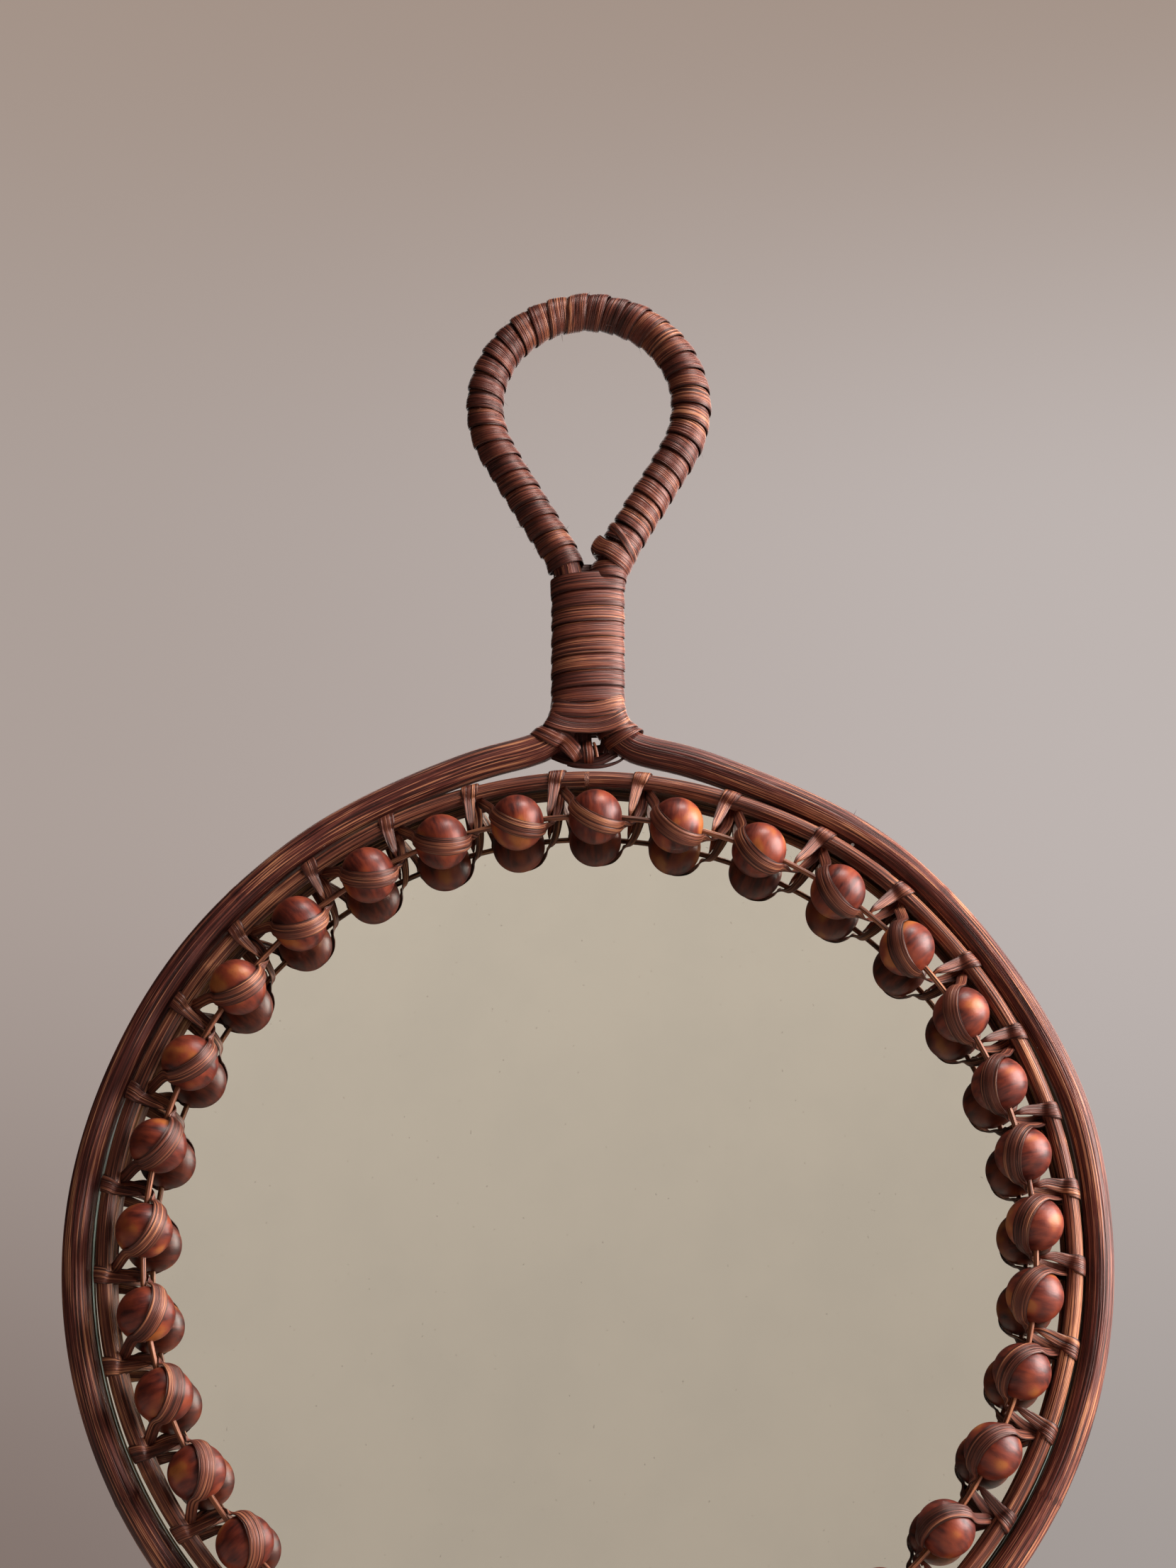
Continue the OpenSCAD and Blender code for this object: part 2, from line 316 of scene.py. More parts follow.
def wind_strip(shape, path, start, end, pitch, width, pole_r, thick, seed, lift_side, tilt, slack=None):
    """A strip wound round a path from start to end. lift_side(s) says which edge rides on its neighbour
    (-1 the edge towards the start, 1 the other), tilt(s) is how far a turn's outer side is ahead of its
    middle, and slack(s) is how loosely it is wound, as a change of radius."""
    per_turn = 44
    turns = (end - start) / pitch
    turn = np.linspace(0, turns, int(turns * per_turn) + 1)
    theta = 2 * math.pi * (0.75 - turn)
    s_mid = start + pitch * turn + 0.05 * pitch * wander(turn, seed, 1.7)
    s_mid = s_mid + tilt(s_mid) * np.cos(theta)
    w_turn = width * (1 + 0.05 * wander(turn, seed + 1, 2.3))
    across, height = strip_section(13)
    w = across[None] * w_turn[:, None]
    bend = path.bend(s_mid)
    loose = slack(s_mid) + 0.12 * wander(turn, seed + 6, 0.9) if slack else 0 * turn
    stretch = 1 + pole_r * np.cos(theta) * bend
    s = s_mid[:, None] + w / np.maximum(stretch, 0.5)[:, None]
    local_pitch = pitch * stretch
    lift = thick * w_turn / local_pitch * 1.03
    side = lift_side(s_mid)[:, None]
    rise = lift[:, None] * (0.5 + side * across[None] + 0.5 * (1 - np.abs(side)))
    ribs = (rib(across, 5, seed) * 0.6 + rib(across, 8, seed + 4) * 0.4) * FINEST_RIB
    crown = 0.08 * (1 - (2 * across[None]) ** 2) * (1 + 0.4 * wander(turn, seed + 2, 0.8)[:, None])
    rough = 0.05 * wander(turn[:, None] * 3 + across[None] * 5, seed + 3, 0.35)
    r = pole_r + loose[:, None] + rise + thick * (height[None] + 0.5) + crown
    r = r + (ribs + rough) * (height[None] > 0)
    place, _, out = path.at(s)
    around = np.broadcast_to(theta[:, None], s.shape)[..., None]
    points = place + r[..., None] * (np.cos(around) * out + np.sin(around) * FRONT)
    along = turn[:, None] * 2 * math.pi * pole_r
    straight = np.stack(np.broadcast_arrays(along, w, r - pole_r), -1)
    tone = wander(turn, seed + 5, 1.1)[:, None]
    shape.sweep(points, straight, tone, np.abs(2 * across[None]))


# ---------------------------------------------------------------- materials

class Nodes:
    """Builds a node tree by short calls."""

    def __init__(self, tree):
        self.tree = tree
        self.tree.nodes.clear()

    def node(self, kind, settings=(), **inputs):
        made = self.tree.nodes.new("ShaderNode" + kind)
        for key, value in dict(settings).items():
            setattr(made, key, value)
        for key, value in inputs.items():
            self.feed(made.inputs[key.replace("_", " ")], value)
        return made

    def feed(self, socket, value):
        if isinstance(value, bpy.types.NodeSocket):
            self.tree.links.new(value, socket)
        else:
            socket.default_value = value

    def attribute(self, name, field="Vector"):
        return self.node("Attribute", {"attribute_name": name}).outputs[field]

    def object_place(self):
        return self.node("TexCoord").outputs["Object"]

    def scaled(self, vector, scale, offset=(0, 0, 0)):
        return self.node("Mapping", Vector=vector, Scale=scale, Location=offset).outputs["Vector"]

    def noise(self, vector, scale, detail, roughness, distortion=0.0):
        made = self.node(
            "TexNoise", Vector=vector, Scale=scale, Detail=detail, Roughness=roughness, Distortion=distortion
        )
        return made.outputs["Fac"]

    def math(self, operation, a, b=0.0):
        made = self.node("Math", {"operation": operation})
        self.feed(made.inputs[0], a)
        self.feed(made.inputs[1], b)
        return made.outputs[0]

    def spread(self, value, low, high, to_low=0.0, to_high=1.0):
        made = self.node("MapRange", {"interpolation_type": "SMOOTHSTEP"})
        for k, v in enumerate((value, low, high, to_low, to_high)):
            self.feed(made.inputs[k], v)
        return made.outputs[0]

    def mix(self, share, a, b):
        made = self.node("Mix", {"data_type": "RGBA"})
        self.feed(made.inputs[0], share)
        for socket, value in ((made.inputs[6], a), (made.inputs[7], b)):
            self.feed(socket, value if isinstance(value, bpy.types.NodeSocket) else (*value, 1))
        return made.outputs[2]

    def ramp(self, value, *stops):
        made = self.node("ValToRGB", Fac=value)
        ramp = made.color_ramp
        while len(ramp.elements) < len(stops):
            ramp.elements.new(0.5)
        for element, (position, colour) in zip(ramp.elements, stops):
            element.position = position
            element.color = (*colour, 1)
        return made.outputs["Color"]

    def bump(self, height, distance, strength):
        return self.node("Bump", Height=height, Distance=distance, Strength=strength).outputs["Normal"]

    def mix_shaders(self, share, first, second):
        made = self.node("MixShader", Fac=share)
        self.tree.links.new(first, made.inputs[1])
        self.tree.links.new(second, made.inputs[2])
        return made.outputs[0]


class Material(Nodes):
    """A material that ends in one surface shader."""

    def __init__(self, name):
        self.material = bpy.data.materials.new(name)
        self.material.use_nodes = True
        super().__init__(self.material.node_tree)
        self.output = self.node("OutputMaterial")

    def finish(self, shader):
        self.tree.links.new(shader, self.output.inputs[0])
        return self.material

    def principled(self, **inputs):
        return self.finish(self.node("BsdfPrincipled", **inputs).outputs[0])


WARM_SHEEN = (1.0, 0.74, 0.68, 1)
# Pale orange of the lightest fibres: partly their own colour, partly a painted highlight along the ridges
LIGHT_FIBRE_AND_HIGHLIGHT = (0.58, 0.25, 0.12)
DUST = (0.30, 0.17, 0.14)


def cane(name, dark, middle, light, gloss=0.45, streak=1.0, patchy=0.05):
    """Cane with its fibres along x of the "straight" attribute, which is in millimetres. The "edge"
    attribute is 1 at a strip's edges, darkened there as painted shade in the seams, and "tone" makes a piece
    lighter or darker."""
    m = Material(name)
    straight = m.attribute("straight")
    tone = m.attribute("tone", "Fac")
    edge = m.attribute("edge", "Fac")
    fibre = m.noise(m.scaled(straight, (0.016, 1.7, 1.7)), 1.0, 2, 0.5)
    fine = m.noise(m.scaled(straight, (0.05, 4.2, 4.2), (5, 17, 9)), 1.0, 1.5, 0.5)
    patch = m.noise(m.scaled(straight, (0.05, 0.14, 0.14), (31, 7, 3)), 1.0, 3, 0.6)
    ridge = m.spread(fibre, 0.38, 0.62)
    grain = m.math("MULTIPLY", m.math("SUBTRACT", fine, 0.5), 0.7 * streak)
    level = m.math("ADD", m.spread(ridge, 0.0, 1.0, 0.1 - 0.1 * streak, 0.1 + 0.1 * streak), grain)
    patches = m.math("MULTIPLY", m.math("SUBTRACT", patch, 0.5), 0.45)
    shift = m.math("ADD", patches, m.math("MULTIPLY", tone, patchy))
    level = m.math("ADD", m.math("ADD", level, 0.39), shift)
    colour = m.ramp(level, (0.32, dark), (0.5, middle), (0.66, light))
    # The lightest fibres turn pale orange, partly their own colour and partly a painted highlight along the
    # ridges.
    light_fibre_and_highlight = m.spread(level, 0.585, 0.72)
    colour = m.mix(m.math("MULTIPLY", light_fibre_and_highlight, 0.8 * streak), colour, LIGHT_FIBRE_AND_HIGHLIGHT)
    # Painted shade: the grooves between the fibres are darkened towards a third of the darkest colour.
    depth = m.math("ADD", m.math("MULTIPLY", fine, 0.6), m.math("MULTIPLY", fibre, 0.4))
    painted_groove_shade = m.spread(depth, 0.42, 0.47, 0.85, 0.0)
    colour = m.mix(painted_groove_shade, colour, tuple(0.3 * c for c in dark))
    # Painted shade: a strip's edges are darkened, standing in for the shadow in the seams between strips.
    colour = m.mix(m.spread(edge, 0.8, 0.98, 0.0, 0.85), colour, tuple(0.4 * c for c in dark))
    dust = m.noise(m.scaled(straight, (0.6, 0.9, 0.9)), 1.0, 5, 0.7)
    colour = m.mix(m.spread(dust, 0.55, 0.8, 0.0, 0.15), colour, DUST)
    rough = m.math("ADD", gloss - 0.12, m.math("MULTIPLY", dust, 0.25))
    height = m.math("ADD", fibre, m.math("MULTIPLY", fine, 0.3))
    normal = m.bump(height, 0.0005, 0.8)
    return m.principled(
        Base_Color=colour, Roughness=rough, Normal=normal, Specular_IOR_Level=0.52, Specular_Tint=WARM_SHEEN
    )


def bead_lacquer():
    """Red-brown lacquer over turned wood, worn to amber here and there."""
    m = Material("bead_lacquer")
    seed = m.attribute("tone", "Fac")
    offset = m.node("CombineXYZ", X=m.math("MULTIPLY", seed, 910.0), Y=m.math("MULTIPLY", seed, 570.0), Z=0.0)
    shifted = m.node("VectorMath", {"operation": "ADD"})
    m.feed(shifted.inputs[0], m.attribute("straight"))
    m.feed(shifted.inputs[1], offset.outputs[0])
    local = shifted.outputs[0]
    grain = m.noise(m.scaled(local, (0.7, 0.16, 0.16)), 1.0, 3, 0.5, 0.3)
    cloud = m.noise(m.scaled(local, (0.14, 0.1, 0.1)), 1.0, 2, 0.4)
    colour = m.ramp(
        grain, (0.33, (0.045, 0.007, 0.005)), (0.5, (0.115, 0.017, 0.009)), (0.67, (0.20, 0.032, 0.014))
    )
    colour = m.mix(m.spread(cloud, 0.47, 0.62, 0.0, 0.7), colour, (0.30, 0.050, 0.018))
    colour = m.mix(m.spread(cloud, 0.58, 0.70, 0.0, 0.85), colour, (0.43, 0.130, 0.028))
    flecks = m.noise(m.scaled(local, (2.6, 0.9, 0.9)), 1.0, 3, 0.6)
    colour = m.mix(m.spread(flecks, 0.6, 0.72, 0.0, 0.3), colour, (0.016, 0.004, 0.004))
    haze = m.noise(local, 0.45, 5, 0.65)
    rough = m.spread(haze, 0.3, 0.75, 0.38, 0.52)
    normal = m.bump(m.noise(m.scaled(local, (2.4, 0.8, 0.8)), 1.0, 4, 0.55), 0.00008, 0.5)
    return m.principled(
        Base_Color=colour, Roughness=rough, Normal=normal, Coat_Weight=0.12, Coat_Roughness=0.3,
        Specular_IOR_Level=0.42, Specular_Tint=(1.0, 0.82, 0.82, 1),
    )


def glass():
    """Clear glass that shines at a slant, with a greenish rim that has a painted glow here and there,
    standing in for light carried along the glass.
    """
    m = Material("mirror_glass")
    place = m.object_place()
    smear = m.noise(m.scaled(place, (14, 14, 14)), 1.0, 4, 0.6)
    clear = m.node("BsdfTransparent", Color=(0.955, 0.965, 0.95, 1))
    shine = m.node("BsdfGlossy", Color=(1, 1, 1, 1), Roughness=m.spread(smear, 0.4, 0.7, 0.0, 0.06))
    facing = m.node("LayerWeight", Blend=0.12).outputs["Fresnel"]
    front = m.mix_shaders(m.math("MULTIPLY", facing, 0.5), clear.outputs[0], shine.outputs[0])
    around = m.noise(m.scaled(place, (15, 15, 15), (0.3, 0, 0.1)), 1.0, 2, 0.5)
    # Painted glow: the rim emits light in patches, standing in for light carried along the glass.
    painted_rim_glow = m.spread(around, 0.47, 0.56, 0.0, 0.42)
    edge = m.node(
        "BsdfPrincipled", Base_Color=(0.42, 0.52, 0.47, 1), Roughness=0.3, Transmission_Weight=0.3,
        Emission_Color=(0.50, 0.58, 0.53, 1), Emission_Strength=painted_rim_glow,
    )
    along_y = m.node("SeparateXYZ", Vector=m.node("NewGeometry").outputs["Normal"]).outputs["Y"]
    is_rim = m.spread(m.math("ABSOLUTE", along_y), 0.5, 0.6, 1.0, 0.0)
    return m.finish(m.mix_shaders(is_rim, front, edge.outputs[0]))


def silver():
    """Old silvering, a little clouded and specked."""
    m = Material("silver_coat")
    place = m.object_place()
    specks = m.noise(m.scaled(place, (900, 900, 900)), 1.0, 2, 0.5)
    clouds = m.noise(m.scaled(place, (22, 22, 22)), 1.0, 5, 0.6)
    colour = m.mix(m.spread(clouds, 0.35, 0.7), (0.90, 0.885, 0.86), (0.86, 0.85, 0.83))
    colour = m.mix(m.spread(specks, 0.73, 0.77, 0.0, 0.3), colour, (0.3, 0.24, 0.2))
    return m.principled(Base_Color=colour, Metallic=1.0, Roughness=0.012)


def lay_silver():
    """The silvering, a little clear of the glass and the board so that no two faces share a plane."""
    lo, hi = flat_box("silver_coat")
    clear = bevel = 0.02
    radius, depth = (hi[0] - lo[0]) / 2 * MM, (hi[2] - lo[2] - 2 * clear) * MM
    mesh = bpy.data.meshes.new("silvering")
    bm = bmesh.new()
    bmesh.ops.create_cone(bm, cap_ends=True, segments=240, radius1=radius, radius2=radius, depth=depth)
    rims = [e for e in bm.edges if not e.is_manifold or e.calc_face_angle(0) > 1]
    bmesh.ops.bevel(bm, geom=rims, offset=bevel * MM)
    bmesh.ops.rotate(bm, verts=bm.verts, matrix=Matrix.Rotation(math.pi / 2, 3, "X"))
    bmesh.ops.translate(bm, verts=bm.verts, vec=(0, -(lo[2] + hi[2]) / 2 * MM, 0))
    bm.to_mesh(mesh)
    bm.free()
    mesh.materials.append(silver())
    hang(add_object("silvering", mesh), "mirror", "silver_coat")


def board():
    """Thin stained board, scuffed and dusty."""
    m = Material("backing_board")
    place = m.object_place()
    grain = m.noise(m.scaled(place, (260, 260, 9)), 1.0, 5, 0.6, 0.3)
    speck = m.noise(m.scaled(place, (900, 900, 900)), 1.0, 4, 0.65)
    colour = m.ramp(
        grain, (0.3, (0.055, 0.026, 0.014)), (0.5, (0.105, 0.053, 0.029)), (0.7, (0.16, 0.088, 0.048))
    )
    colour = m.mix(m.spread(speck, 0.5, 0.7, 0.0, 0.45), colour, (0.19, 0.12, 0.075))
    scuff = m.noise(m.scaled(place, (30, 30, 45)), 1.0, 6, 0.7)
    colour = m.mix(m.spread(scuff, 0.58, 0.75, 0.0, 0.3), colour, (0.26, 0.19, 0.14))
    height = m.math("ADD", grain, m.math("MULTIPLY", speck, 0.5))
    return m.principled(
        Base_Color=colour, Roughness=m.spread(scuff, 0.3, 0.7, 0.62, 0.8), Normal=m.bump(height, 0.0002, 0.6)
    )


def steel():
    """Dull steel with rust in patches."""
    m = Material("brad_steel")
    place = m.object_place()
    rust = m.noise(m.scaled(place, (1500, 1500, 1500)), 1.0, 4, 0.6)
    colour = m.mix(m.spread(rust, 0.45, 0.65), (0.42, 0.40, 0.38), (0.20, 0.085, 0.04))
    metal = m.spread(rust, 0.45, 0.65, 0.9, 0.1)
    return m.principled(
        Base_Color=colour, Metallic=metal, Roughness=m.spread(rust, 0.4, 0.65, 0.35, 0.8),
        Normal=m.bump(rust, 0.0001, 0.6),
    )


DARK_STAIN = (0.040, 0.008, 0.006)
POLE_CANE = cane("pole_cane", DARK_STAIN, (0.105, 0.022, 0.016), (0.23, 0.064, 0.042), 0.45, 1.1)
HOOP_CANE = cane(
    "hoop_cane", (0.050, 0.011, 0.007), (0.155, 0.042, 0.024), (0.32, 0.112, 0.060), 0.45, 1.1
)
THREAD_CANE = cane("thread_cane", (0.10, 0.028, 0.012), (0.24, 0.075, 0.036), (0.40, 0.155, 0.075), 0.4)
WRAP_STRIP = cane(
    "binding_strip", (0.048, 0.010, 0.007), (0.115, 0.026, 0.016), (0.23, 0.064, 0.032), 0.42, 0.7, 0.085
)
LASH_STRIP = cane(
    "lashing_strip", (0.050, 0.011, 0.007), (0.13, 0.033, 0.020), (0.26, 0.080, 0.042), 0.42, 0.9
)


# ---------------------------------------------------------------- the pole

shoulder_c = (HOOP_R - SHOULDER_R) * np.array([sin_d(SHOULDER_FROM), cos_d(SHOULDER_FROM)])
slope = np.array([sin_d(SHOULDER_SLOPE), cos_d(SHOULDER_SLOPE)])
shoulder_end = shoulder_c + SHOULDER_R * slope
base_r = (shoulder_end[0] - LEG_PITCH / 2) / (1 - slope[0])
base_c = shoulder_end + base_r * slope
leg_len = (
    LOOP_R * cos_d(LEG_ANGLE) - LEG_PITCH / 2 - SPREAD_R * (1 - cos_d(LEG_ANGLE))
) / sin_d(LEG_ANGLE)
spread_c = np.array([
    LEG_PITCH / 2 + SPREAD_R,
    LOOP_Y - (LOOP_R + SPREAD_R) * sin_d(LEG_ANGLE) - leg_len * cos_d(LEG_ANGLE),
])
base_turn = 90 - SHOULDER_SLOPE
FLIP = np.array([-1, 1])

# Where the pole strays from its drawn line: degrees clockwise from the top, how many degrees it
# spreads, and millimetres outward
POLE_STRAYS = (
    (5, 5, -1.6), (33, 14, 1.9), (74, 9, 0.8), (-6, 5, -1.2), (-28, 10, 0.7), (-66, 15, -0.8),
)


def stray(points):
    """The hoop and shoulders as they were really bent by hand. The neck stays as drawn."""
    x, y = points[:, 0], points[:, 1]
    angle = np.degrees(np.arctan2(x, y))
    off = sum(size * np.exp(-((angle - at) / wide) ** 2) for at, wide, size in POLE_STRAYS)
    off = off * np.clip((NECK_BASE_Y + 9 - y) / 12, 0, 1)
    return points * (1 + off / np.hypot(x, y))[:, None]


def pole_outline(spare):
    """The pole's centre line, clockwise from the bottom and back, run on by spare degrees each way."""
    left = [
        arc((0, 0), HOOP_R, -90 + spare, -(180 - SHOULDER_FROM) - spare),
        arc(shoulder_c * FLIP, SHOULDER_R, 90 + SHOULDER_FROM, SHOULDER_SLOPE - SHOULDER_FROM),
        arc(base_c * FLIP, base_r, -base_turn, base_turn),
        arc(spread_c * FLIP, SPREAD_R, 0, LEG_ANGLE),
        arc((0, LOOP_Y), LOOP_R, 180 + LEG_ANGLE, -90 - LEG_ANGLE),
    ]
    half = np.vstack(left)
    return stray(np.vstack([half, (half * FLIP)[::-1]]))


def dense(points, step=0.4):
    """The same line with points at even steps."""
    s = np.r_[0, np.cumsum(np.linalg.norm(np.diff(points, axis=0), axis=1))]
    keep = np.r_[True, np.diff(s) > 1e-6]
    even = np.linspace(0, s[-1], int(s[-1] / step))
    return np.stack([np.interp(even, s[keep], points[keep, k]) for k in (0, 1)], 1)


pole_path = Path(dense(pole_outline(SCARF_SPARE)), HOOP_Z)
SCARF_S = math.radians(SCARF_SPARE) * HOOP_R
SCARF_SLOPE = math.tan(math.radians(SCARF_ANGLE))


def round_section(columns):
    return np.arange(columns) * 2 * math.pi / columns


def fluted(theta, s, seed, depth):
    """Shallow lengthwise flutes and unevenness of a cane, as a change of radius."""
    flutes = sum(
        np.cos(n * theta + wander(s, seed + n, 120)) * (0.6 + 0.4 * wander(s, seed + 2 * n, 60))
        for n in (7, 11, 17)
    )
    return depth * flutes / 3 + 1.6 * depth * wander(s, seed, 35)


def swell(s):
    """How much stouter the pole is where it turns up into the neck."""
    x = np.interp(s, pole_path.s, pole_path.points[:, 0])
    y = np.interp(s, pole_path.s, pole_path.points[:, 1])
    near_top = np.clip((y - 0.75 * HOOP_R) / (0.25 * HOOP_R), 0, 1)
    return SHOULDER_SWELL * near_top * (np.abs(x) > LEG_PITCH * 0.6)


def build_pole():
    """The pole, with slanting ends that meet in a scarf joint at the bottom, and a ring at each node."""
    theta = round_section(52)
    rows = int(pole_path.length / 1.5)
    even = np.linspace(0, 1, rows)[:, None]
    slant = POLE_D / 2 * np.cos(theta)[None] / SCARF_SLOPE
    start = SCARF_S + slant + SCARF_GAP / 2
    end = pole_path.length - SCARF_S + slant - SCARF_GAP / 2
    fade = np.clip(np.minimum(even, 1 - even) * pole_path.length / 45, 0, 1)
    middle = SCARF_S + even * (pole_path.length - 2 * SCARF_S)
    ends = np.where(even < 0.5, start - SCARF_S, end - pole_path.length + SCARF_S)
    s = middle + ends * (1 - fade)
    place, _, out = pole_path.at(s)
    half = pole_path.length / 2
    node_s = half + np.array([-1, 1])[:, None] * np.array([0.17, 0.42, 0.71]) * pole_path.length / 2
    rings = sum(np.exp(-((s - n) / 0.7) ** 2) for n in node_s.ravel())
    r = POLE_D / 2 - 0.06 + fluted(theta[None], s, 11, 0.05) + 0.16 * rings + swell(s)
    around = np.broadcast_to(theta[None], s.shape)[..., None]
    points = place + r[..., None] * (np.cos(around) * out + np.sin(around) * FRONT)
    straight = np.stack(np.broadcast_arrays(s, r * np.cos(theta), r * np.sin(theta)), -1)
    shape = Shape()
    shape.sweep(points, straight, -1.5 * rings)
    fray(shape, pole_path, 40, pole_path.length - 40, POLE_D / 2 - 0.2, 40, 27)
    hang(shape.make("pole", POLE_CANE), "mirror", "frame_cane")


def along_pole(height, side):
    """The distance along the pole where it passes a height above the hoop, on the left or right."""
    half = pole_path.length / 2
    s = pole_path.s
    y = pole_path.points[:, 1]
    on_side = (s < half) if side < 0 else (s > half)
    above = on_side & (y > height)
    return s[above].min() if side < 0 else s[above].max()


def fray(shape, path, start, end, pole_r, count, seed):
    """Loose fibres that stand off a binding here and there."""
    vary = np.random.default_rng(seed)
    for _ in range(count):
        s, angle, length = vary.uniform(start, end), vary.uniform(0, 360), vary.uniform(1.5, 5.5)
        place, tangent, outer = path.at(s)
        out = cos_d(angle) * FRONT + sin_d(angle) * outer
        beside = np.cross(tangent, out)
        drift = vary.uniform(-1, 1, 2)
        t = np.linspace(0, 1, 7)[:, None]
        line = place + (pole_r + 0.28 * length * t ** 1.6) * out
        line = line + length * t * (0.5 * drift[0] * tangent + 0.7 * drift[1] * beside)
        a = np.arange(4) * math.pi / 2
        r = 0.07 * (1.15 - t)[:, None]
        around = np.cos(a)[:, None] * tangent + np.sin(a)[:, None] * beside
        shape.sweep(line[:, None] + r * around[None], line[:, None] + 0 * around[None], -2.0)


def hang_binding(shape, name, node):
    hang(shape.make(name, WRAP_STRIP), "mirror", node)


def bind_loop():
    """The loop's binding. It stops a little short of the neck on the left, and is crossed on the right."""
    first, last = along_pole(NECK_TOP + 2.2, -1), along_pole(LOOP_WRAP_FROM - 1.5, 1)
    pitch = (last - first) / LOOP_TURNS
    middle = (first + last) / 2 - 1.2 * pitch

    def tilt(s):
        return -2.6 * np.clip((s - last) / 22 + 1, 0, 1) ** 1.5 - 1.2 * np.clip(1 - (s - first) / 12, 0, 1)

    def slack(s):
        return 0.55 * np.clip((s - first) / (last - first) * 1.5, 0, 1) * np.clip((last - s) / 30 + 0.4, 0, 1)

    shape = Shape()
    wind_strip(
        shape, pole_path, first, last, pitch, pitch + 0.45, POLE_D / 2 + 0.04, LOOP_STRIP_T, 21,
        lambda s: np.tanh((s - middle) / pitch * 2.5), tilt, slack,
    )
    r = LOOP_BIND_D / 2 + 0.3
    half_turn = (150, 118, 90, 60, 30, 0, -30, -60, -90, -120)
    thin = over_pole(along_pole(NECK_TOP + 9.6, 1), -2.7, r, half_turn, 2.4)
    lay_strip(shape, thin, crown=0.2, seed=24, tone=1.2)
    foot = over_pole(along_pole(NECK_TOP + 5.0, 1), -0.9, r, (130, 100, 70, 40, 10, -20, -50), 5.0)
    foot += over_pole(along_pole(NECK_TOP + 5.6, 1), -0.9, r + 1.3, (-85, -120, -150), 4.8)
    lay_strip(shape, foot, crown=0.25, seed=25, tone=0.8)
    fray(shape, pole_path, first, last, LOOP_BIND_D / 2 + 0.2, 46, 26)
    hang_binding(shape, "loop_binding", "loop_wrap")


def neck_half_width(y):
    """How far each leg's centre is from the middle at a height, in the neck."""
    below = np.clip((base_c[1] - y) / base_r, 0, 0.95)
    above = np.clip((y - spread_c[1]) / SPREAD_R, 0, 0.95)
    return LEG_PITCH / 2 + base_r * (1 - np.sqrt(1 - below ** 2)) + SPREAD_R * (1 - np.sqrt(1 - above ** 2))


def bind_neck():
    """One strip round both legs, each turn's upper edge under the next turn's lower edge."""
    pitch, thick = NECK_PITCH, BINDING_T
    width = pitch + 0.4
    low, high = NECK_BASE_Y + width / 2 - pitch / 2, NECK_TOP - width / 2 + pitch / 2
    turns = (high - low) / pitch
    turn = np.linspace(0, turns, int(turns * 110) + 1)
    lowest = np.clip(1 - turn * pitch / 12, 0, 1)
    squareness = 2 / (2.1 + 2.2 * lowest)
    across, height = strip_section(13)
    theta = -2 * math.pi * (turn + 0.25)
    cos_t, sin_t = np.cos(theta), np.sin(theta)
    bow_x = (np.sign(cos_t) * np.abs(cos_t) ** squareness)[:, None]
    bow_z = (np.sign(sin_t) * np.abs(sin_t) ** squareness)[:, None]
    y_mid = low + pitch * turn + 0.25 * wander(turn, 61, 0.6)
    w_turn = width * (1 + 0.05 * wander(turn, 62, 1.4))
    w = across[None] * w_turn[:, None]
    saddle = 5.0 * lowest[:, None] * bow_x ** 2
    y = y_mid[:, None] + w + saddle
    ribs = (rib(across, 5, 63) * 0.6 + rib(across, 8, 64) * 0.4) * FINEST_RIB
    crown = 0.08 * (1 - (2 * across[None]) ** 2)
    lift = thick * w_turn / pitch * 1.03
    rise = lift[:, None] * (0.5 - across[None]) + thick * (height[None] + 0.5) + crown + ribs * (height > 0)
    flare = 0.9 * np.clip((y - NECK_TOP) / 9 + 1, 0, 1) ** 2
    x = (neck_half_width(y) + POLE_D / 2 + 0.3 + rise + flare) * bow_x - flare / 2
    z = HOOP_Z + (POLE_D / 2 + 0.75 + rise) * bow_z
    points = np.stack([x, y, z], -1)
    middle = points[:, 3]
    along = np.r_[0, np.cumsum(np.linalg.norm(np.diff(middle, axis=0), axis=1))]
    straight = np.stack(np.broadcast_arrays(along[:, None] + 900, w, rise), -1)
    shape = Shape()
    shape.sweep(points, straight, wander(turn, 65, 0.9)[:, None], np.abs(2 * across[None]))
    tuck = [(-5, 1.0, 0.6), (0, 1.4, -0.4), (5, 1.0, 0.6)]
    controls = [(x, NECK_TOP + up, HOOP_Z + ahead, 0, 0, 1, 4.5, 0) for x, up, ahead in tuck]
    lay_strip(shape, controls, seed=67, tone=-6)
    hang_binding(shape, "neck_binding", "neck_wrap")


def over_pole(s, lean, r, angles, width):
    """Controls for a strip laid slantwise over the pole's front. angles run from its outer side at 90 to its
    inner side at -90, and lean is how far the outer side is behind, along the pole."""
    controls = []
    for angle in angles:
        place, _, outer = pole_path.at(s - lean * sin_d(angle))
        out = cos_d(angle) * FRONT + sin_d(angle) * outer
        controls.append((*(place + r * out), *out, width, 0.06))
    return controls


TIE_R = POLE_D / 2 + SHOULDER_SWELL + 0.45


